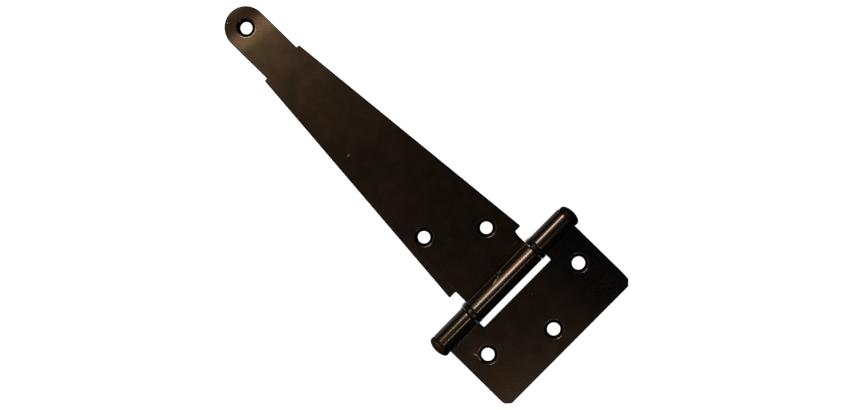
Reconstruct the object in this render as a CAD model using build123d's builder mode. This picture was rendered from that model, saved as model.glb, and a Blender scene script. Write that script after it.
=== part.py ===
from build123d import *
import math
import os

# A tee hinge: a long tapered strap and a short upright plate, rolled round one riveted pin.
# Millimetres. The hinge lies open on its back, with both leaves on the XY plane and their fronts up.
# The pin runs along Y, above the origin. The strap points to -X and the plate to +X.

os.makedirs("parts", exist_ok=True)

# Sheet, pin and running fit
sheet_thickness = 2.0
pin_diameter = 5.0
pin_clearance = 0.05
washer_clearance = 0.08
edge_break = 0.25
corner_round = 0.4

# Strap, along X from the pin's axis and across Y
strap_length = 152.1
strap_knuckle_length = 33.2
ear_distance = 10.5
ear_width = 40.1
shoulder_width = 19.8
tongue_length = 28.7
tongue_width = 17.1
neck_flare = 0.45
neck_flare_run = 3.0
strap_hole_diameter = 4.9
strap_hole_distance = 27.1
strap_hole_pitch_x = 15.0
strap_hole_pitch_y = 20.0

# Plate, along X from the pin's axis and across Y
plate_reach = 36.3
plate_width = 70.0
slot_gap = 2.85
slot_corner_round = 0.5
plate_hole_diameter = 5.2
side_hole_distance = 16.1
side_hole_spacing = 51.0
centre_hole_distance = 27.5

# The plate's two clipped corners: a long shallow lead-in along the side, then the cut itself
upper_lead_run = 3.8
upper_lead_drop = 0.3
upper_cut_run = 2.0
upper_cut_drop = 2.1
lower_lead_run = 1.8
lower_lead_drop = 0.4
lower_cut_run = 1.8
lower_cut_drop = 2.0
lower_cut_round = 1.0

# Countersinks for flat-headed wood screws, pressed from the front
countersink_angle = 90.0
hole_land = 0.7
countersink_lip_break = 0.15

# Knuckle roll: how far the sheet's free end stops above the leaf
roll_end_gap = 0.1

# Spacer washers on the pin
upper_washer_thickness = 1.8
lower_washer_thickness = 1.8
washer_rim_break = 0.45
end_play = 0.9
washer_seat = 0.1

# Rivet heads; a dome turns down to its rim in a tighter shoulder, its radius a share of the height
upper_head_diameter = 9.1
upper_head_rim = 1.15
upper_head_dome = 2.2
upper_head_gap = 0.05
lower_head_diameter = 9.1
lower_head_rim = 1.3
lower_head_dome = 2.05
lower_head_gap = 0.05
head_underside_break = 0.3
dome_shoulder_share = 0.6

# Sizes that follow
bore_radius = pin_diameter / 2 + pin_clearance
barrel_radius = bore_radius + sheet_thickness
pin_axis = Axis((0, 0, barrel_radius), (0, 1, 0))
pin_plane = Plane.XY.offset(barrel_radius)
front_plane = Plane.XY.offset(sheet_thickness)
strap_knuckle_end = strap_knuckle_length / 2
slot_half_width = (strap_knuckle_length + upper_washer_thickness + lower_washer_thickness + end_play) / 2
slot_edge = barrel_radius + slot_gap
plate_half_width = plate_width / 2
plate_knuckle_length = plate_half_width - slot_half_width
plate_knuckle_middle = (plate_half_width + slot_half_width) / 2
countersink_depth = sheet_thickness - hole_land
countersink_spread = countersink_depth * math.tan(math.radians(countersink_angle / 2))
roll_turn = 270 + math.degrees(math.asin((bore_radius - roll_end_gap) / barrel_radius))

# How near an edge or a corner lies to the place it is looked for
selection_slack = 0.01


def corners_at(outline, *distances):
    """The corners of a flat outline that lie at one of these X positions."""
    return [
        corner
        for corner in outline.vertices()
        if any(abs(corner.X - distance) < selection_slack for distance in distances)
    ]


def sheared_edges(blank):
    """The front and back outline edges of a flat blank, all but those along the roll line at X = 0."""
    front = blank.faces().sort_by(Axis.Z)[-1].outer_wire().edges()
    back = blank.faces().sort_by(Axis.Z)[0].outer_wire().edges()
    return [edge for edge in front + back if abs(edge.center().X) > selection_slack]


def countersink_lips(leaf, hole_radius):
    """The rims of a leaf's countersinks, where they open on its front face."""
    lip_radius = hole_radius + countersink_spread
    front_circles = leaf.faces().filter_by(Plane.XY).sort_by(Axis.Z)[-1].edges().filter_by(GeomType.CIRCLE)
    return [rim for rim in front_circles if abs(rim.radius - lip_radius) < selection_slack]


def head_dome(rim_radius, base, height):
    """A head's dome from its rim to its top on the pin's axis, down if height is negative."""
    rise = abs(height)
    shoulder_radius = dome_shoulder_share * rise
    shoulder_reach = rim_radius - shoulder_radius
    crown_radius = (shoulder_reach**2 + rise**2 - shoulder_radius**2) / (2 * (rise - shoulder_radius))
    crown_share = crown_radius / (crown_radius - shoulder_radius)
    crown_edge_rise = math.copysign((crown_radius - rise) * (crown_share - 1), height)
    crown_edge = (shoulder_reach * crown_share, base + crown_edge_rise)
    TangentArc((rim_radius, base), crown_edge, tangent=(0, height))
    TangentArc((0, base + height), crown_edge, tangent=(1, 0))


# Strap leaf: tongue, tapered band, ears and neck in one flat blank, its neck rolled into the middle knuckle
tongue_centre = strap_length - tongue_width / 2
shoulder_distance = strap_length - tongue_length
strap_hole_radius = strap_hole_diameter / 2
tip_hole = (-tongue_centre, 0)
near_hole = (-strap_hole_distance + strap_hole_pitch_x / 2, strap_hole_pitch_y / 2)
far_hole = (-strap_hole_distance - strap_hole_pitch_x / 2, -strap_hole_pitch_y / 2)

with BuildPart() as strap_leaf:
    with BuildSketch(Plane.XY) as strap_outline:
        with BuildLine():
            Line((0, strap_knuckle_end), (-ear_distance + neck_flare_run, strap_knuckle_end))
            TangentArc(
                (-ear_distance + neck_flare_run, strap_knuckle_end),
                (-ear_distance, strap_knuckle_end + neck_flare),
                tangent=(-1, 0),
            )
            Polyline(
                (-ear_distance, strap_knuckle_end + neck_flare),
                (-ear_distance, ear_width / 2),
                (-shoulder_distance, shoulder_width / 2),
                (-shoulder_distance, tongue_width / 2),
                (-tongue_centre, tongue_width / 2),
            )
            ThreePointArc(
                (-tongue_centre, tongue_width / 2),
                (-strap_length, 0),
                (-tongue_centre, -tongue_width / 2),
            )
            Polyline(
                (-tongue_centre, -tongue_width / 2),
                (-shoulder_distance, -tongue_width / 2),
                (-shoulder_distance, -shoulder_width / 2),
                (-ear_distance, -ear_width / 2),
                (-ear_distance, -strap_knuckle_end),
                (0, -strap_knuckle_end),
                (0, strap_knuckle_end),
            )
        make_face()
        fillet(corners_at(strap_outline, -ear_distance, -shoulder_distance), corner_round)
    extrude(amount=sheet_thickness)
    chamfer(sheared_edges(strap_leaf), edge_break)
    with Locations(front_plane):
        with Locations(tip_hole, near_hole, far_hole):
            CounterSinkHole(
                strap_hole_radius,
                strap_hole_radius + countersink_spread,
                counter_sink_angle=countersink_angle,
            )
    chamfer(countersink_lips(strap_leaf, strap_hole_radius), countersink_lip_break)
    with BuildSketch(Plane.YZ) as strap_section:
        Rectangle(strap_knuckle_length, sheet_thickness, align=(Align.CENTER, Align.MIN))
        chamfer(strap_section.vertices(), edge_break)
    revolve(axis=Axis(pin_axis.position, -pin_axis.direction), revolution_arc=roll_turn)
strap_leaf.part.label = "strap_leaf"
export_step(strap_leaf.part, "parts/strap_leaf.step")


# Plate leaf: a flat blank slotted for the strap's knuckle, with an outer knuckle rolled on each side
plate_hole_radius = plate_hole_diameter / 2
upper_lead_start = (plate_reach - upper_cut_run - upper_lead_run, plate_half_width)
upper_lead_end = (plate_reach - upper_cut_run, plate_half_width - upper_lead_drop)
upper_cut_end = (plate_reach, plate_half_width - upper_lead_drop - upper_cut_drop)
lower_lead_start = (plate_reach - lower_cut_run - lower_lead_run, -plate_half_width)
lower_lead_end = (plate_reach - lower_cut_run, -plate_half_width + lower_lead_drop)
lower_cut_end = (plate_reach, -plate_half_width + lower_lead_drop + lower_cut_drop)
side_holes = [(side_hole_distance, side * side_hole_spacing / 2) for side in (1, -1)]

with BuildPart() as plate_leaf:
    with BuildSketch(Plane.XY) as plate_outline:
        with BuildLine():
            Line((0, plate_half_width), upper_lead_start)
            TangentArc(upper_lead_start, upper_lead_end, tangent=(1, 0))
            Polyline(upper_lead_end, upper_cut_end, lower_cut_end, lower_lead_end)
            TangentArc(lower_lead_start, lower_lead_end, tangent=(1, 0))
            Polyline(
                lower_lead_start,
                (0, -plate_half_width),
                (0, -slot_half_width),
                (slot_edge, -slot_half_width),
                (slot_edge, slot_half_width),
                (0, slot_half_width),
                (0, plate_half_width),
            )
        make_face()
        fillet(corners_at(plate_outline, slot_edge), slot_corner_round)
        outer_corners = plate_outline.vertices().group_by(Axis.X)[-1].sort_by(Axis.Y)
        fillet(outer_corners[0], lower_cut_round)
    extrude(amount=sheet_thickness)
    chamfer(sheared_edges(plate_leaf), edge_break)
    with Locations(front_plane):
        with Locations(*side_holes, (centre_hole_distance, 0)):
            CounterSinkHole(
                plate_hole_radius,
                plate_hole_radius + countersink_spread,
                counter_sink_angle=countersink_angle,
            )
    chamfer(countersink_lips(plate_leaf, plate_hole_radius), countersink_lip_break)
    for side in (1, -1):
        with BuildSketch(Plane.YZ) as plate_section:
            with Locations((side * plate_knuckle_middle, 0)):
                Rectangle(plate_knuckle_length, sheet_thickness, align=(Align.CENTER, Align.MIN))
            chamfer(plate_section.vertices(), edge_break)
        revolve(axis=pin_axis, revolution_arc=roll_turn)
plate_leaf.part.label = "plate_leaf"
export_step(plate_leaf.part, "parts/plate_leaf.step")


# Hinge pin: one round bar with a formed head above and an upset head below
pin_radius = pin_diameter / 2
upper_head_radius = upper_head_diameter / 2
lower_head_radius = lower_head_diameter / 2
upper_head_base = plate_half_width + upper_head_gap
lower_head_base = -plate_half_width - lower_head_gap
upper_dome_base = upper_head_base + upper_head_rim
lower_dome_base = lower_head_base - lower_head_rim

with BuildPart() as hinge_pin:
    with BuildSketch(pin_plane) as pin_profile:
        with BuildLine():
            Line((0, lower_dome_base - lower_head_dome), (0, upper_dome_base + upper_head_dome))
            head_dome(upper_head_radius, upper_dome_base, upper_head_dome)
            Polyline(
                (upper_head_radius, upper_dome_base),
                (upper_head_radius, upper_head_base),
                (pin_radius, upper_head_base),
                (pin_radius, lower_head_base),
                (lower_head_radius, lower_head_base),
                (lower_head_radius, lower_dome_base),
            )
            head_dome(lower_head_radius, lower_dome_base, -lower_head_dome)
        make_face()
        head_undersides = [
            corner
            for corner in corners_at(pin_profile, upper_head_radius, lower_head_radius)
            if lower_head_base - selection_slack < corner.Y < upper_head_base + selection_slack
        ]
        chamfer(head_undersides, head_underside_break)
    revolve(axis=pin_axis)
hinge_pin.part.label = "hinge_pin"
export_step(hinge_pin.part, "parts/hinge_pin.step")


# Spacer washers: loose rings on the pin, one on each side of the strap's knuckle
upper_washer_middle = slot_half_width - washer_seat - upper_washer_thickness / 2
lower_washer_middle = -strap_knuckle_end - washer_seat - lower_washer_thickness / 2
washer_bore_radius = pin_diameter / 2 + washer_clearance

with BuildPart() as upper_washer:
    with BuildSketch(pin_plane) as upper_washer_section:
        with Locations((washer_bore_radius, upper_washer_middle)):
            Rectangle(
                barrel_radius - washer_bore_radius,
                upper_washer_thickness,
                align=(Align.MIN, Align.CENTER),
            )
        chamfer(upper_washer_section.vertices().group_by(Axis.X)[-1], washer_rim_break)
    revolve(axis=pin_axis)
upper_washer.part.label = "upper_washer"
export_step(upper_washer.part, "parts/upper_washer.step")

with BuildPart() as lower_washer:
    with BuildSketch(pin_plane) as lower_washer_section:
        with Locations((washer_bore_radius, lower_washer_middle)):
            Rectangle(
                barrel_radius - washer_bore_radius,
                lower_washer_thickness,
                align=(Align.MIN, Align.CENTER),
            )
        chamfer(lower_washer_section.vertices().group_by(Axis.X)[-1], washer_rim_break)
    revolve(axis=pin_axis)
lower_washer.part.label = "lower_washer"
export_step(lower_washer.part, "parts/lower_washer.step")
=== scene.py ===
import math

import bmesh
import bpy
from mathutils import Matrix, Vector


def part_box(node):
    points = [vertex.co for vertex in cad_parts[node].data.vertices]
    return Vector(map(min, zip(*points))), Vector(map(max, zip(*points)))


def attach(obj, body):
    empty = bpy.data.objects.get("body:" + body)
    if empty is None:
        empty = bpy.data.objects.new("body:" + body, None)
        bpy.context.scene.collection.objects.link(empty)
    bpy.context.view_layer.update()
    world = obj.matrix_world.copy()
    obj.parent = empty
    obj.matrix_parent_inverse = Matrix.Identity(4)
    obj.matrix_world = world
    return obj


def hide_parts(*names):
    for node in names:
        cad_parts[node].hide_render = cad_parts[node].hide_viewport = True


# The looks of a tee hinge in dark bronze-brown lacquer. It lies open on its back on a white table.
# Metres, in the frame of the CAD: the pin runs along Y, the strap points to -X and the plate to +X.

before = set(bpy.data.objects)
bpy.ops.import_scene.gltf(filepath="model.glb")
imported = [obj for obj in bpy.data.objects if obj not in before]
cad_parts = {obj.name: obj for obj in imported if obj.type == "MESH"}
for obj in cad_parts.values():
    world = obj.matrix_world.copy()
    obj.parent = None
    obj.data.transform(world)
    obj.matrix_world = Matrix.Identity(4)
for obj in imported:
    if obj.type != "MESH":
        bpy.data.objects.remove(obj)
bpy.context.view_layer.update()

MM = 0.001

# The camera looks almost straight down, turned so that the strap runs to the picture's upper left
CAMERA_PLACE = Vector((-33.77, 24.57, 450.09)) * MM
CAMERA_AIM = Vector((-42.71, -0.04, 0.0)) * MM
CAMERA_UP = Vector((-0.6994, 0.7142, -0.0252))
CAMERA_LENS = 47.81
CAMERA_SENSOR = 36.0
CAMERA_NEAREST = 10.0 * MM

# Places and sizes that the finish takes from the frame
pin_low, pin_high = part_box("hinge_pin")
plate_low, plate_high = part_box("plate_leaf")
upper_washer_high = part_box("upper_washer")[1]
lower_washer_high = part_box("lower_washer")[1]
BARREL_RADIUS = plate_high.z / 2
PIN_MIDDLE = Vector((0.0, 0.0, BARREL_RADIUS))
PIN_WAY = Vector((0.0, 1.0, 0.0))
FRONT_WAY = Vector((0.0, 0.0, 1.0))

# Sizes of the sheet, the pin and the joints between the pieces
SHEET = 2.0 * MM
PIN_RADIUS = 2.5 * MM
WASHER_BORE_RADIUS = 2.58 * MM
WASHER_ROUND = 0.12 * MM
WASHER_SEAT = 0.1 * MM
HEAD_GAP = 0.05 * MM
HEAD_EDGE_ROUND = 0.3 * MM
UPPER_DOME = 2.2 * MM
LOWER_DOME = 2.05 * MM

# The screw holes, each on its leaf, and how far round each one its lip and its ridge reach
TIP_HOLE = Vector((-143.55, 0.0, 0.0)) * MM
STRAP_HOLES = [TIP_HOLE, Vector((-19.6, 10.0, 0.0)) * MM, Vector((-34.6, -10.0, 0.0)) * MM]
PLATE_HOLES = [Vector((x, y, 0.0)) * MM for x, y in ((16.1, 25.5), (16.1, -25.5), (27.5, 0.0))]
LIP_REACH = 4.6 * MM

# Where the knuckles end, along the pin
STRAP_KNUCKLE = (lower_washer_high.y + WASHER_SEAT, -lower_washer_high.y - WASHER_SEAT)
UPPER_KNUCKLE = (upper_washer_high.y + WASHER_SEAT, plate_high.y)
LOWER_KNUCKLE = (plate_low.y, -upper_washer_high.y - WASHER_SEAT)

SAME_PLACE = 0.003 * MM
MERGE_DISTANCE = 0.001 * MM
FLAT_ANGLE = math.radians(0.5)
LEAF_SHARP_ANGLE = math.radians(17)
TURNED_SHARP_ANGLE = math.radians(50)


def link(thing):
    """Puts an object into the scene."""
    bpy.context.scene.collection.objects.link(thing)
    return thing


def on_axis(point, middle, way):
    """A point's place along an axis, and its offset out from it."""
    along = (point - middle).dot(way)
    return along, point - middle - way * along


# The leaves: the CAD's solids with truer rounds and the small forms that punching and rolling leave
LONGEST_FACET = 0.4
ROUND_CUTS = 3
LIP_BREAK = 0.15 * MM
RIDGE_HEIGHT = 0.07 * MM
RIDGE_INNER_HEIGHT = 0.045 * MM
RIDGE_WIDTH = 0.27 * MM
TIP_LIP_FILL = 0.05 * MM
# A face that looks at least this squarely forward belongs to the leaf's front
FRONT_SQUARENESS = 0.999

# A knuckle's ends are rounded off by a drop over a short run, between a few cuts
KNUCKLE_END_DROP = 0.14 * MM
KNUCKLE_END_RUN = 0.95 * MM
KNUCKLE_END_CUTS = (0.4 * MM, 0.6 * MM, 0.95 * MM)
# Shares of the barrel's radius from which a face or a point counts as the knuckle's outside
OUTER_FACE_SHARE = 0.98
OUTER_POINT_SHARE = 0.93
# The knuckles keep the CAD's shape up to this height, just above the sheet's front
KNUCKLE_FOOT = SHEET + 0.15 * MM

# The knuckles aren't quite round. A sag is a flank rolled a little flat: its depth, middle and half width
PLATE_SIDE_SAG = (0.24 * MM, math.radians(45), math.radians(45))
STRAP_SAG = (0.2 * MM, math.radians(-25), math.radians(34))
LOWER_SAG = (0.16 * MM, math.radians(25), math.radians(35))
# The plate's upper knuckle is rolled looser than the others and bulges on the strap's side
UPPER_BULGE = 0.36 * MM
BULGE_REACH = 5.06 * MM

# The strap's end isn't quite flat in front: it dips across its hole and rises beyond it to its round end
END_WAY = Vector((0.989, -0.148, 0.0))
END_DIP = 0.14 * MM
END_DIP_RUN = 8.5 * MM
END_RISE = 0.46 * MM
END_RISE_RUN = 9.5 * MM
END_CUT_STEP = 0.5 * MM
# What lies lower than this in the strap's end keeps its place
END_FLOOR = 0.7 * MM


def joined_shape(node):
    """A CAD node's mesh with its loose triangles joined into whole faces."""
    shape = bmesh.new()
    shape.from_mesh(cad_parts[node].data)
    bmesh.ops.remove_doubles(shape, verts=shape.verts, dist=MERGE_DISTANCE)
    bmesh.ops.dissolve_limit(shape, angle_limit=FLAT_ANGLE, verts=shape.verts, edges=shape.edges)
    return shape


def make_rounder(shape, middle, way, reach):
    """Divides the edges that run round an axis and sets the new points on their true circles."""
    radii = set()
    edges = []
    for edge in shape.edges:
        first_along, first_out = on_axis(edge.verts[0].co, middle, way)
        last_along, last_out = on_axis(edge.verts[1].co, middle, way)
        radius = first_out.length
        if radius > reach or abs(first_along - last_along) > SAME_PLACE:
            continue
        if abs(radius - last_out.length) > SAME_PLACE or edge.calc_length() > LONGEST_FACET * radius:
            continue
        edges.append(edge)
        radii.add(radius)
    made = bmesh.ops.subdivide_edges(shape, edges=edges, cuts=ROUND_CUTS)
    for vert in made["geom_inner"]:
        if isinstance(vert, bmesh.types.BMVert):
            along, out = on_axis(vert.co, middle, way)
            radius = min(size for size in radii if size > out.length - SAME_PLACE)
            vert.co = middle + way * along + out.normalized() * radius


def raise_ridges(shape, holes):
    """Raises a low ridge round each countersink, as the tool leaves it. At the tip it only fills the lip."""
    raised = []
    for vert in shape.verts:
        on_lip = SHEET - LIP_BREAK < vert.co.z < SHEET - SAME_PLACE
        if (vert.co.xy - TIP_HOLE.xy).length < LIP_REACH:
            if on_lip:
                raised.append((vert, TIP_LIP_FILL))
        elif any((vert.co.xy - hole.xy).length < LIP_REACH for hole in holes):
            if on_lip:
                raised.append((vert, RIDGE_INNER_HEIGHT))
            elif abs(vert.co.z - SHEET) < SAME_PLACE:
                raised.append((vert, RIDGE_HEIGHT))
    front = [face for face in shape.faces if face.normal.z > FRONT_SQUARENESS]
    front = [face for face in front if abs(face.calc_center_median().z - SHEET) < SAME_PLACE]
    bmesh.ops.inset_region(
        shape, faces=front, thickness=RIDGE_WIDTH, use_boundary=True, use_even_offset=True
    )
    for vert, height in raised:
        vert.co.z += height


def cut_across(shape, faces, place, way):
    """Cuts these faces by a plane."""
    verts = {vert for face in faces for vert in face.verts}
    edges = {edge for face in faces for edge in face.edges}
    near = list(faces) + list(edges) + list(verts)
    bmesh.ops.bisect_plane(shape, geom=near, plane_co=place, plane_no=way, dist=SAME_PLACE)


def roll_knuckle(shape, ends, sags, bulge):
    """Rounds a knuckle's two ends, lets its flanks sag and widens its strap side."""

    def outside():
        """The faces of the knuckle's outer round."""
        picked = []
        for face in shape.faces:
            middle = face.calc_center_median()
            out = on_axis(middle, PIN_MIDDLE, PIN_WAY)[1].length
            if ends[0] < middle.y < ends[1] and out > OUTER_FACE_SHARE * BARREL_RADIUS and middle.z > SHEET:
                picked.append(face)
        return picked

    for run in KNUCKLE_END_CUTS:
        for place in (ends[0] + run, ends[1] - run):
            cut_across(shape, outside(), Vector((0.0, place, 0.0)), PIN_WAY)
    for vert in shape.verts:
        along, out = on_axis(vert.co, PIN_MIDDLE, PIN_WAY)
        inside = ends[0] - SAME_PLACE < along < ends[1] + SAME_PLACE
        if not inside or out.length < OUTER_POINT_SHARE * BARREL_RADIUS or vert.co.z < KNUCKLE_FOOT:
            continue
        from_end = min(along - ends[0], ends[1] - along)
        drop = KNUCKLE_END_DROP * max(0.0, 1.0 - from_end / KNUCKLE_END_RUN) ** 2
        for depth, middle, half in sags:
            turn = (math.atan2(out.x, out.z) - middle) / half
            if abs(turn) < 1.0:
                drop += depth * 0.5 * (1.0 + math.cos(math.pi * turn))
        vert.co = PIN_MIDDLE + PIN_WAY * along + out.normalized() * (out.length - drop)
    for vert in shape.verts:
        if ends[0] - SAME_PLACE < vert.co.y < ends[1] + SAME_PLACE and -BULGE_REACH < vert.co.x < 0.0:
            vert.co.x *= 1.0 + bulge / BARREL_RADIUS


def end_height(along):
    """How far the front of the strap's end lies off its flat place, at this distance from the hole."""
    if along > 0.0:
        return -END_DIP * math.cos(math.pi / 2 * min(1.0, along / END_DIP_RUN)) ** 2
    return END_RISE * math.sin(math.pi / 2 * min(1.0, -along / END_RISE_RUN)) ** 2 - END_DIP


def press_end(shape):
    """Gives the front of the strap's end its dip and rise, between close cuts across it."""
    for step in range(int((END_DIP_RUN + END_RISE_RUN) / END_CUT_STEP) + 1):
        place = TIP_HOLE + END_WAY * (END_DIP_RUN - step * END_CUT_STEP)
        near = []
        for face in shape.faces:
            reached = any((vert.co - TIP_HOLE).dot(END_WAY) < END_DIP_RUN for vert in face.verts)
            if reached and face.calc_center_median().z > SHEET / 2:
                near.append(face)
        cut_across(shape, near, place, END_WAY)
    for vert in shape.verts:
        along = (vert.co - TIP_HOLE).dot(END_WAY)
        if along < END_DIP_RUN and vert.co.z > END_FLOOR:
            vert.co.z += end_height(along) * (vert.co.z - END_FLOOR) / (SHEET - END_FLOOR)


def finished_leaf(node, holes, knuckles):
    """A leaf with its rounds, ridges, knuckles and pressed end."""
    shape = joined_shape(node)
    make_rounder(shape, PIN_MIDDLE, PIN_WAY, BARREL_RADIUS + SAME_PLACE)
    for hole in holes:
        make_rounder(shape, hole, FRONT_WAY, LIP_REACH)
    raise_ridges(shape, holes)
    for ends, sags, bulge in knuckles:
        roll_knuckle(shape, ends, sags, bulge)
    if TIP_HOLE in holes:
        press_end(shape)
    return smooth_piece(shape, node + "_finished", LEAF_SHARP_ANGLE)


def smooth_piece(shape, name, sharp_angle):
    """Turns a shape into an object, smooth but for its sharp edges, with its large faces kept flat."""
    mesh = bpy.data.meshes.new(name)
    shape.to_mesh(mesh)
    shape.free()
    mesh.shade_smooth()
    mesh.set_sharp_from_angle(angle=sharp_angle)
    piece = link(bpy.data.objects.new(name, mesh))
    weights = piece.modifiers.new("even shading", "WEIGHTED_NORMAL")
    weights.keep_sharp = True
    return piece


# The pin: one turned bar with a domed head at each end. Steps round it, over a head's dome and its rim
TURN_STEPS = 96
DOME_STEPS = 14
RIM_STEPS = 4


def head_outline(end, base, dome, side):
    """Half of a head's outline from the shaft out over its rim to the top: (radius, place along the pin)."""
    rim = base + side * HEAD_EDGE_ROUND
    points = [(PIN_RADIUS, base), (BARREL_RADIUS - HEAD_EDGE_ROUND, base)]
    for step in range(1, RIM_STEPS + 1):
        turn = math.pi / 2 * step / RIM_STEPS
        radius = BARREL_RADIUS - HEAD_EDGE_ROUND * (1.0 - math.sin(turn))
        points.append((radius, rim - side * HEAD_EDGE_ROUND * math.cos(turn)))
    for step in range(DOME_STEPS):
        turn = math.pi / 2 * step / DOME_STEPS
        points.append((BARREL_RADIUS * math.cos(turn), end - side * dome * (1.0 - math.sin(turn))))
    points.append((0.0, end))
    return points


def turned_pin():
    """The pin with its two heads, turned round its axis from one outline."""
    lower = head_outline(pin_low.y, plate_low.y - HEAD_GAP, LOWER_DOME, -1)
    upper = head_outline(pin_high.y, plate_high.y + HEAD_GAP, UPPER_DOME, 1)
    shape = bmesh.new()
    verts = [shape.verts.new((radius, along, BARREL_RADIUS)) for radius, along in lower[::-1] + upper]
    edges = [shape.edges.new(pair) for pair in zip(verts, verts[1:])]
    bmesh.ops.spin(
        shape,
        geom=verts + edges,
        cent=PIN_MIDDLE,
        axis=PIN_WAY,
        angle=2 * math.pi,
        steps=TURN_STEPS,
        use_merge=True,
    )
    bmesh.ops.remove_doubles(shape, verts=shape.verts, dist=MERGE_DISTANCE)
    bmesh.ops.recalc_face_normals(shape, faces=shape.faces)
    return smooth_piece(shape, "hinge_pin_finished", TURNED_SHARP_ANGLE)


class Steps:
    """A node tree and the few kinds of step that it is made of."""

    def __init__(self, tree):
        self.tree = tree

    def add(self, kind, **settings):
        node = self.tree.nodes.new(kind)
        for name, value in settings.items():
            setattr(node, name, value)
        return node

    def feed(self, socket, value):
        """Joins an output to a socket, or sets the socket to a plain value."""
        if isinstance(value, bpy.types.NodeSocket):
            self.tree.links.new(value, socket)
        else:
            socket.default_value = value

    def maths(self, operation, *values):
        node = self.add("ShaderNodeMath", operation=operation)
        for socket, value in zip(node.inputs, values):
            self.feed(socket, value)
        return node.outputs["Value"]

    def ranged(self, value, from_low, from_high, to_low, to_high):
        """Spreads the values between two limits over two others."""
        node = self.add("ShaderNodeMapRange")
        for name, number in (
            ("Value", value),
            ("From Min", from_low),
            ("From Max", from_high),
            ("To Min", to_low),
            ("To Max", to_high),
        ):
            self.feed(node.inputs[name], number)
        return node.outputs["Result"]

    def mixed(self, share, first, second):
        """A colour between two others: the share of the second one."""
        node = self.add("ShaderNodeMix", data_type="RGBA")
        self.feed(node.inputs["Factor"], share)
        self.feed(node.inputs["A"], first)
        self.feed(node.inputs["B"], second)
        return node.outputs["Result"]


# The washers: rings turned from a rounded section by one small node tree
WASHER_ROUND_STEPS = 6


def washer_tree():
    """A node tree that turns a rounded rectangle round the pin's axis."""
    tree = bpy.data.node_groups.new("turned ring", "GeometryNodeTree")
    for name in ("Outer Radius", "Bore Radius", "Thickness", "Edge Round"):
        tree.interface.new_socket(name, in_out="INPUT", socket_type="NodeSocketFloat")
    tree.interface.new_socket("Middle", in_out="INPUT", socket_type="NodeSocketVector")
    tree.interface.new_socket("Material", in_out="INPUT", socket_type="NodeSocketMaterial")
    tree.interface.new_socket("Geometry", in_out="OUTPUT", socket_type="NodeSocketGeometry")
    steps = Steps(tree)
    given = steps.add("NodeGroupInput").outputs
    result = steps.add("NodeGroupOutput")
    section = steps.add("GeometryNodeCurvePrimitiveQuadrilateral")
    width = steps.maths("SUBTRACT", given["Outer Radius"], given["Bore Radius"])
    steps.feed(section.inputs["Width"], width)
    steps.feed(section.inputs["Height"], given["Thickness"])
    rounded = steps.add("GeometryNodeFilletCurve", mode="POLY")
    steps.feed(rounded.inputs["Count"], WASHER_ROUND_STEPS)
    steps.feed(rounded.inputs["Curve"], section.outputs["Curve"])
    steps.feed(rounded.inputs["Radius"], given["Edge Round"])
    path = steps.add("GeometryNodeCurvePrimitiveCircle")
    steps.feed(path.inputs["Resolution"], TURN_STEPS)
    both = steps.maths("ADD", given["Outer Radius"], given["Bore Radius"])
    steps.feed(path.inputs["Radius"], steps.maths("MULTIPLY", both, 0.5))
    ring = steps.add("GeometryNodeCurveToMesh")
    steps.feed(ring.inputs["Curve"], path.outputs["Curve"])
    steps.feed(ring.inputs["Profile Curve"], rounded.outputs["Curve"])
    placed = steps.add("GeometryNodeTransform")
    steps.feed(placed.inputs["Rotation"], (math.pi / 2, 0.0, 0.0))
    steps.feed(placed.inputs["Translation"], given["Middle"])
    steps.feed(placed.inputs["Geometry"], ring.outputs["Mesh"])
    real = steps.add("GeometryNodeRealizeInstances")
    steps.feed(real.inputs["Geometry"], placed.outputs["Geometry"])
    coated = steps.add("GeometryNodeSetMaterial")
    steps.feed(coated.inputs["Geometry"], real.outputs["Geometry"])
    steps.feed(coated.inputs["Material"], given["Material"])
    steps.feed(result.inputs["Geometry"], coated.outputs["Geometry"])
    return tree


def washer(tree, node, material):
    """One washer, built by the tree to the size of its CAD node and kept as a plain mesh."""
    low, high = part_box(node)
    holder = link(bpy.data.objects.new(node + "_tree", bpy.data.meshes.new(node + "_tree")))
    turning = holder.modifiers.new("turned ring", "NODES")
    turning.node_group = tree
    values = {
        "Outer Radius": BARREL_RADIUS,
        "Bore Radius": WASHER_BORE_RADIUS,
        "Thickness": high.y - low.y,
        "Edge Round": WASHER_ROUND,
        "Middle": (low + high) / 2,
        "Material": material,
    }
    for socket in tree.interface.items_tree:
        if socket.in_out == "INPUT":
            turning[socket.identifier] = values[socket.name]
    ready = holder.evaluated_get(bpy.context.evaluated_depsgraph_get())
    mesh = bpy.data.meshes.new_from_object(ready)
    bpy.data.objects.remove(holder)
    shape = bmesh.new()
    shape.from_mesh(mesh)
    bmesh.ops.recalc_face_normals(shape, faces=shape.faces)
    return smooth_piece(shape, node + "_finished", TURNED_SHARP_ANGLE)


# A spot's usual depth in mm, and the share of its reach up to which it has its full strength
SPOT_DEPTH = 6.0
SPOT_FULL = 0.45
NOISE_ROUGHNESS = 0.6


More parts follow.
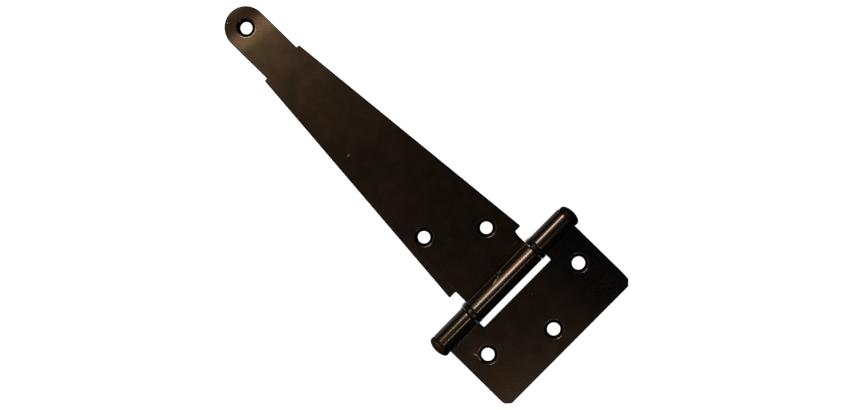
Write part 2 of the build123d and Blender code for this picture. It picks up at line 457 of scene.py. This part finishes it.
class Finish(Steps):
    """One material. Its patterns lie in the hinge's own frame."""

    def __init__(self, name):
        self.material = bpy.data.materials.new(name)
        self.material.use_nodes = True
        super().__init__(self.material.node_tree)
        self.surface = self.tree.nodes["Principled BSDF"]
        self.place = self.add("ShaderNodeTexCoord").outputs["Object"]

    def noise(self, size, detail, shift):
        """A cloudy pattern from 0 to 1 whose blots are about this size."""
        moved = self.add("ShaderNodeMapping")
        moved.inputs["Location"].default_value = (shift, 0.0, 0.0)
        moved.inputs["Scale"].default_value = (1.0 / size, 1.0 / size, 1.0 / size)
        self.feed(moved.inputs["Vector"], self.place)
        cloud = self.add("ShaderNodeTexNoise")
        cloud.inputs["Scale"].default_value = 1.0
        cloud.inputs["Detail"].default_value = detail
        cloud.inputs["Roughness"].default_value = NOISE_ROUGHNESS
        self.feed(cloud.inputs["Vector"], moved.outputs["Vector"])
        return cloud.outputs["Fac"]

    def spot(self, middle, turn, length, width, strength, depth=SPOT_DEPTH, full=SPOT_FULL):
        """A drawn-out spot, such as a scratch or a chip. It fades between its full share and its edge."""
        local = self.add("ShaderNodeMapping", vector_type="TEXTURE")
        local.inputs["Location"].default_value = Vector(middle) * MM
        local.inputs["Rotation"].default_value = (0.0, 0.0, math.radians(turn))
        local.inputs["Scale"].default_value = (length * MM / 2, width * MM / 2, depth * MM / 2)
        self.feed(local.inputs["Vector"], self.place)
        away = self.add("ShaderNodeVectorMath", operation="LENGTH")
        self.feed(away.inputs[0], local.outputs["Vector"])
        return self.ranged(away.outputs["Value"], 1.0, full, 0.0, strength)

    def spots(self, marks):
        """All of these spots in one mask."""
        mask = 0.0
        for mark in marks:
            mask = self.maths("MAXIMUM", mask, self.spot(*mark))
        return mask


# The lacquer's patterns: the size of the blots, their detail and where they are cut out of the noise
CLOUDS = (15.0 * MM, 1.0, 3.7)
BLOTS = (6.0 * MM, 1.5, 11.2)
GRAIN = (0.6 * MM, 2.0, 5.1)

# How the patterns act. Each row: their values from and to, and what these become
CLOUDS_TO_BROWN = (0.35, 0.65, 0.0, 1.0)
CLOUDS_TO_TONE = (0.7, 1.3, 0.84, 1.16)
GRAIN_TO_TONE = (0.3, 0.7, 0.94, 1.06)
GRAIN_TO_DULLNESS = (0.3, 0.7, -0.006, 0.006)
GRAIN_TO_RUB_AND_PAINTED_SHADE = (0.4, 0.6, 0.4, 1.0)
GRAIN_TO_MARK = (0.35, 0.6, 0.55, 1.0)
BLOTS_SPREAD = (0.3, 0.7)
BLOT_DULLNESS = 0.01
PAINTED_SHADE_DULLNESS = 0.4
MARK_DULLNESS = 0.38

# The lacquer is a little uneven: blots and grain in these shares, over this depth
RELIEF_BLOTS = 4.0
RELIEF_GRAIN = 0.1
RELIEF_DEPTH = 0.004 * MM

# Painted shade darkens a piece's upper half, which begins within this distance of its middle
UPPER_EDGE = 1.0 * MM

COAT_WEIGHT = 1.0
COAT_ROUGHNESS = 0.155
LEAF_ROUGHNESS = 0.27
OLIVE = (0.1, 0.058, 0.023)
REDDISH = (0.1, 0.05, 0.023)
BARE_BRONZE = (0.75, 0.52, 0.34, 1.0)
PAINTED_SHADE_BLACK = (0.012, 0.01, 0.008, 1.0)

# Marks down to the bronze: middle in mm, turn in degrees from +X to +Y, length and width in mm, strength
STRAP_MARKS = [
    ((-3.84, 1.75, 7.0), 92.0, 1.3, 0.7, 1.0),
    ((-3.98, 0.9, 6.8), 70.0, 1.3, 0.6, 0.8),
    ((-3.2, -0.2, 7.7), 112.0, 2.4, 0.6, 0.8),
    ((-2.75, -2.4, 8.2), 100.0, 3.6, 0.6, 1.0),
    ((-7.15, 13.6, 2.0), 84.0, 4.6, 0.45, 0.2),
    ((-150.0, -3.7, 1.8), 60.0, 0.75, 0.55, 1.0),
    ((-146.9, 0.2, 1.6), 60.0, 0.9, 0.7, 0.7),
    ((-78.7, -7.7, 2.0), 60.0, 2.0, 1.2, 0.3),
    ((-78.45, -8.1, 2.0), 20.0, 0.7, 0.6, 0.6),
    ((-103.7, -10.8, 2.0), 30.0, 0.7, 0.5, 0.3),
]
PLATE_MARKS = [
    ((12.5, -28.9, 2.0), 25.0, 1.8, 0.8, 1.0),
    ((13.3, -28.7, 2.0), 10.0, 1.0, 0.7, 1.0),
    ((14.8, -28.95, 1.8), -12.0, 2.6, 0.8, 1.0),
    ((11.47, 4.1, 2.0), 40.0, 0.7, 0.6, 0.35),
]

# Where the plate's lacquer is thin, in the same terms, and its brown there: round the scuffs and on the
# lower corner. The near black over the upper corner is painted shade
PLATE_RUBS_AND_PAINTED_SHADE = [
    ((12.6, -27.6, 2.0), 60.0, 8.0, 5.5, 0.7, (0.27, 0.1, 0.045, 1.0)),
    ((28.5, -29.0, 2.0), -35.0, 19.0, 13.0, 0.9, (0.13, 0.05, 0.016, 1.0)),
    # Painted shade: the upper corner painted near black
    ((23.0, 31.0, 2.0), 0.0, 62.0, 46.0, 1.0, (0.015, 0.014, 0.013, 1.0)),
]

# Painted shade: dull black along the strap's seam, in the same terms with its depth, and in the countersinks
STRAP_SEAM_PAINTED_SHADE = ((-4.9, 0.0, 3.6), 90.0, 60.0, 2.4, 0.9, 12.0)
PIT_LENGTH = 8.3
PIT_WIDTH = 7.7
TIP_PIT_WIDTH = 7.45
PIT_DEPTH = 12.0
PIT_FULL = 0.94
TIP_PIT_SHIFT = 0.1
STRAP_PIT_SHIFT = 0.15
PLATE_PIT_SHIFT = 0.07


def countersink_painted_shade(hole, length, width, shift):
    """The painted shade inside one countersink, a little shifted towards the strap's end."""
    return ((hole.x / MM - shift, hole.y / MM, 1.0), 90.0, length, width, 1.0, PIT_DEPTH, PIT_FULL)


def lacquer(name, brown, other, roughness, coat=0.0, marks=(), rubs_and_painted_shade=(), painted_shade_spots=(), painted_shade_upper_share=1.0):
    """Half-gloss lacquer: cloudy in colour and sheen, finely grained, with marks, rubbed patches and painted
    shade.

    Where the upper share isn't 1, the piece's upper half along the pin has that share of the colour, as
    painted shade.
    """
    finish = Finish(name)
    large = finish.noise(*CLOUDS)
    blots = finish.noise(*BLOTS)
    grain = finish.noise(*GRAIN)
    colour = finish.mixed(finish.ranged(large, *CLOUDS_TO_BROWN), (*brown, 1.0), (*other, 1.0))
    clouds = finish.ranged(finish.maths("ADD", large, blots), *CLOUDS_TO_TONE)
    # Painted shade: the upper half of the piece is darker
    if painted_shade_upper_share != 1.0:
        parts = finish.add("ShaderNodeSeparateXYZ")
        finish.feed(parts.inputs["Vector"], finish.place)
        painted_shade_darker = finish.ranged(parts.outputs["Y"], -UPPER_EDGE, UPPER_EDGE, 1.0, painted_shade_upper_share)
        clouds = finish.maths("MULTIPLY", clouds, painted_shade_darker)
    toned = finish.add("ShaderNodeVectorMath", operation="SCALE")
    finish.feed(toned.inputs[0], colour)
    tone = finish.maths("MULTIPLY", clouds, finish.ranged(grain, *GRAIN_TO_TONE))
    finish.feed(toned.inputs["Scale"], tone)
    shade = toned.outputs["Vector"]
    sheen = finish.ranged(blots, *BLOTS_SPREAD, roughness - BLOT_DULLNESS, roughness + BLOT_DULLNESS)
    sheen = finish.maths("ADD", sheen, finish.ranged(grain, *GRAIN_TO_DULLNESS))
    # Painted shade: the seam and the countersinks are painted dull black, rougher and without the coat
    if painted_shade_spots:
        dull = finish.spots(painted_shade_spots)
        shade = finish.mixed(dull, shade, PAINTED_SHADE_BLACK)
        coat = finish.maths("MULTIPLY_ADD", dull, -coat, coat)
        sheen = finish.maths("MULTIPLY_ADD", dull, PAINTED_SHADE_DULLNESS, sheen)
    # Rubbed patches, and the painted shade over the plate's upper corner
    for *rub_and_painted_shade, rub_and_painted_shade_brown in rubs_and_painted_shade:
        worn_and_painted_shade = finish.maths("MULTIPLY", finish.spot(*rub_and_painted_shade), finish.ranged(grain, *GRAIN_TO_RUB_AND_PAINTED_SHADE))
        shade = finish.mixed(worn_and_painted_shade, shade, rub_and_painted_shade_brown)
    if marks:
        bare = finish.maths("MULTIPLY", finish.spots(marks), finish.ranged(grain, *GRAIN_TO_MARK))
        shade = finish.mixed(bare, shade, BARE_BRONZE)
        sheen = finish.maths("MULTIPLY_ADD", bare, MARK_DULLNESS, sheen)
    surface = finish.surface
    finish.feed(surface.inputs["Base Color"], shade)
    finish.feed(surface.inputs["Roughness"], sheen)
    surface.inputs["Metallic"].default_value = 1.0
    finish.feed(surface.inputs["Coat Weight"], coat)
    surface.inputs["Coat Roughness"].default_value = COAT_ROUGHNESS
    uneven = finish.maths(
        "ADD", finish.maths("MULTIPLY", blots, RELIEF_BLOTS), finish.maths("MULTIPLY", grain, RELIEF_GRAIN)
    )
    relief = finish.add("ShaderNodeBump")
    relief.inputs["Strength"].default_value = 1.0
    relief.inputs["Distance"].default_value = RELIEF_DEPTH
    finish.feed(relief.inputs["Height"], uneven)
    finish.feed(surface.inputs["Normal"], relief.outputs["Normal"])
    return finish.material


strap_lacquer = lacquer(
    "dark bronze lacquer, strap",
    brown=OLIVE,
    other=REDDISH,
    roughness=LEAF_ROUGHNESS,
    coat=COAT_WEIGHT,
    marks=STRAP_MARKS,
    painted_shade_spots=[STRAP_SEAM_PAINTED_SHADE, countersink_painted_shade(TIP_HOLE, TIP_PIT_WIDTH, TIP_PIT_WIDTH, TIP_PIT_SHIFT)]
    + [countersink_painted_shade(hole, PIT_LENGTH, PIT_WIDTH, STRAP_PIT_SHIFT) for hole in STRAP_HOLES if hole != TIP_HOLE],
)
plate_lacquer = lacquer(
    "dark bronze lacquer, plate",
    brown=OLIVE,
    other=REDDISH,
    roughness=LEAF_ROUGHNESS,
    coat=COAT_WEIGHT,
    marks=PLATE_MARKS,
    rubs_and_painted_shade=PLATE_RUBS_AND_PAINTED_SHADE,
    painted_shade_spots=[countersink_painted_shade(hole, PIT_LENGTH, PIT_WIDTH, PLATE_PIT_SHIFT) for hole in PLATE_HOLES],
)
# The pin's upper head is darkened with painted shade
pin_lacquer = lacquer(
    "dark brown lacquer, pin",
    brown=(0.068, 0.04, 0.022),
    other=(0.075, 0.038, 0.02),
    roughness=0.5,
    painted_shade_upper_share=0.28,
)
# Painted shade: the upper washer is painted darker than the lower one
upper_washer_painted_shade_lacquer = lacquer(
    "dull lacquer with painted shade, upper washer",
    brown=(0.03, 0.024, 0.016),
    other=(0.033, 0.023, 0.015),
    roughness=0.45,
)
lower_washer_lacquer = lacquer(
    "dull lacquer, lower washer",
    brown=(0.065, 0.042, 0.028),
    other=(0.07, 0.04, 0.026),
    roughness=0.32,
)

# The pieces, each in place of its CAD node
strap = finished_leaf("strap_leaf", STRAP_HOLES, [(STRAP_KNUCKLE, [STRAP_SAG, PLATE_SIDE_SAG], 0.0)])
plate = finished_leaf(
    "plate_leaf",
    PLATE_HOLES,
    [(UPPER_KNUCKLE, [PLATE_SIDE_SAG], UPPER_BULGE), (LOWER_KNUCKLE, [LOWER_SAG, PLATE_SIDE_SAG], 0.0)],
)
pin = turned_pin()
ring_tree = washer_tree()
upper_washer = washer(ring_tree, "upper_washer", upper_washer_painted_shade_lacquer)
lower_washer = washer(ring_tree, "lower_washer", lower_washer_lacquer)

for piece, node, body, slot, material in (
    (strap, "strap_leaf", "strap", "strap_lacquer", strap_lacquer),
    (plate, "plate_leaf", "plate", "plate_lacquer", plate_lacquer),
    (pin, "hinge_pin", "plate", "pin_lacquer", pin_lacquer),
    (upper_washer, "upper_washer", "plate", "washer_lacquer", upper_washer_painted_shade_lacquer),
    (lower_washer, "lower_washer", "plate", "washer_lacquer", lower_washer_lacquer),
):
    piece.data.materials.clear()
    piece.data.materials.append(material)
    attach(piece, body)
    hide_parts(node)


def turned_to(place, back, up):
    """The place and turn of a camera or a light that looks against back, with its top towards up."""
    right = up.cross(back).normalized()
    turn = Matrix((right, back.cross(right), back)).transposed()
    return Matrix.Translation(place) @ turn.to_4x4()


def soft_light(name, tilt_x, tilt_y, distance, width_x, width_y, brightness):
    """A flat light aimed at the pin's middle, tilted from straight above towards +X and +Y."""
    lamp = bpy.data.lights.new(name, "AREA")
    lamp.shape = "RECTANGLE"
    lamp.size = width_x
    lamp.size_y = width_y
    lamp.energy = brightness * math.pi * width_x * width_y
    holder = link(bpy.data.objects.new(name, lamp))
    holder.visible_camera = False
    back = Vector((math.tan(math.radians(tilt_x)), math.tan(math.radians(tilt_y)), 1.0)).normalized()
    holder.matrix_world = turned_to(back * distance, back, PIN_WAY)


# A narrow key light on the strap's side and three weak ones. Each row: its name, its two tilts in degrees,
# its distance and two widths in metres, and its brightness
for light in (
    ("key light", -38.0, 8.6, 0.562, 0.062, 0.285, 12.9),
    ("lamp over the plate", 28.0, -7.5, 0.439, 0.036, 0.064, 6.6),
    ("glow over the plate", 17.8, -13.5, 0.439, 0.03, 0.03, 3.3),
    ("glow below the strap", -6.0, -20.0, 0.45, 0.2, 0.1, 0.3),
):
    soft_light(*light)

# The table glows white all over, but for the shade under the barrel beside the washers (its sizes in mm)
SHADE_SIDE = 3.7
SHADE_WIDTH = 3.6
SHADE_LENGTH = 6.4
TABLE_HALF = 4.0
TABLE_DROP = 0.02 * MM
TABLE_ROUGHNESS = 0.9
TABLE_WHITE = (0.8, 0.8, 0.8, 1.0)
TABLE_BLACK = (0.0, 0.0, 0.0, 1.0)
TABLE_GLOW = (1.0, 1.0, 1.0, 1.0)

corners = ((-1, -1), (1, -1), (1, 1), (-1, 1))
places = [(side_x * TABLE_HALF, side_y * TABLE_HALF, -TABLE_DROP) for side_x, side_y in corners]
table_mesh = bpy.data.meshes.new("table")
table_mesh.from_pydata(places, [], [(0, 1, 2, 3)])
table = link(bpy.data.objects.new("table", table_mesh))
table_white = Finish("white table")
shades = []
for low_end, high_end in ((LOWER_KNUCKLE[1], STRAP_KNUCKLE[0]), (STRAP_KNUCKLE[1], UPPER_KNUCKLE[0])):
    middle = (low_end + high_end) / 2 / MM
    for side in (-SHADE_SIDE, SHADE_SIDE):
        shades.append(((side, middle, 0.0), 0.0, SHADE_WIDTH, SHADE_LENGTH, 1.0))
shaded = table_white.spots(shades)
table_top = table_white.surface.inputs
table_white.feed(table_top["Base Color"], table_white.mixed(shaded, TABLE_WHITE, TABLE_BLACK))
table_white.feed(table_top["Emission Strength"], table_white.maths("SUBTRACT", 1.0, shaded))
table_top["Emission Color"].default_value = TABLE_GLOW
table_top["Roughness"].default_value = TABLE_ROUGHNESS
table_mesh.materials.append(table_white.material)
table.visible_glossy = False

# What the lacquer mirrors of the room: dark and a little blue above, a dim glow low down on the strap's side
ROOM_BLUE = (0.5, 1.1, 2.1, 1.0)
ROOM_STRENGTH = 0.01
GLOW_WARM = (1.0, 0.8, 0.62, 1.0)
GLOW_STRENGTH = 0.4
GLOW_WAY = (-0.5, -0.2, -0.84)
GLOW_START = 0.38

world = bpy.data.worlds.new("room")
world.use_nodes = True
bpy.context.scene.world = world
room = Steps(world.node_tree)
way = room.add("ShaderNodeTexCoord").outputs["Generated"]
towards = room.add("ShaderNodeVectorMath", operation="DOT_PRODUCT")
room.feed(towards.inputs[0], way)
room.feed(towards.inputs[1], GLOW_WAY)
glow = room.ranged(towards.outputs["Value"], GLOW_START, 1.0, 0.0, 1.0)
background = room.tree.nodes["Background"]
room.feed(background.inputs["Color"], room.mixed(glow, ROOM_BLUE, GLOW_WARM))
room.feed(background.inputs["Strength"], room.ranged(glow, 0.0, 1.0, ROOM_STRENGTH, GLOW_STRENGTH))

# Two pale walls, beyond the pin's two ends, light the hinge for a view from low down. They fade in between
# two heights, where 0 is level and 1 straight up
WALL_WHITE = (1.0, 0.93, 0.85, 1.0)
WALL_BRIGHTNESS = 0.5
WALL_FOOT = 0.2
WALL_TOP = 0.5

parts = room.add("ShaderNodeSeparateXYZ")
room.feed(parts.inputs["Vector"], way)
endwards = room.maths("MULTIPLY", parts.outputs["Y"], parts.outputs["Y"])
upwards = room.ranged(parts.outputs["Z"], WALL_FOOT, WALL_TOP, 0.0, WALL_BRIGHTNESS)
walls = room.add("ShaderNodeBackground")
room.feed(walls.inputs["Color"], WALL_WHITE)
room.feed(walls.inputs["Strength"], room.maths("MULTIPLY", endwards, upwards))
both = room.add("ShaderNodeAddShader")
room.feed(both.inputs[0], background.outputs["Background"])
room.feed(both.inputs[1], walls.outputs["Background"])
room.feed(room.tree.nodes["World Output"].inputs["Surface"], both.outputs["Shader"])

bpy.context.scene.view_settings.view_transform = "Standard"

camera = bpy.data.cameras.new("camera")
camera.lens = CAMERA_LENS
camera.sensor_width = CAMERA_SENSOR
camera.clip_start = CAMERA_NEAREST
camera_holder = link(bpy.data.objects.new("camera", camera))
camera_holder.matrix_world = turned_to(CAMERA_PLACE, (CAMERA_PLACE - CAMERA_AIM).normalized(), CAMERA_UP)
bpy.context.scene.camera = camera_holder
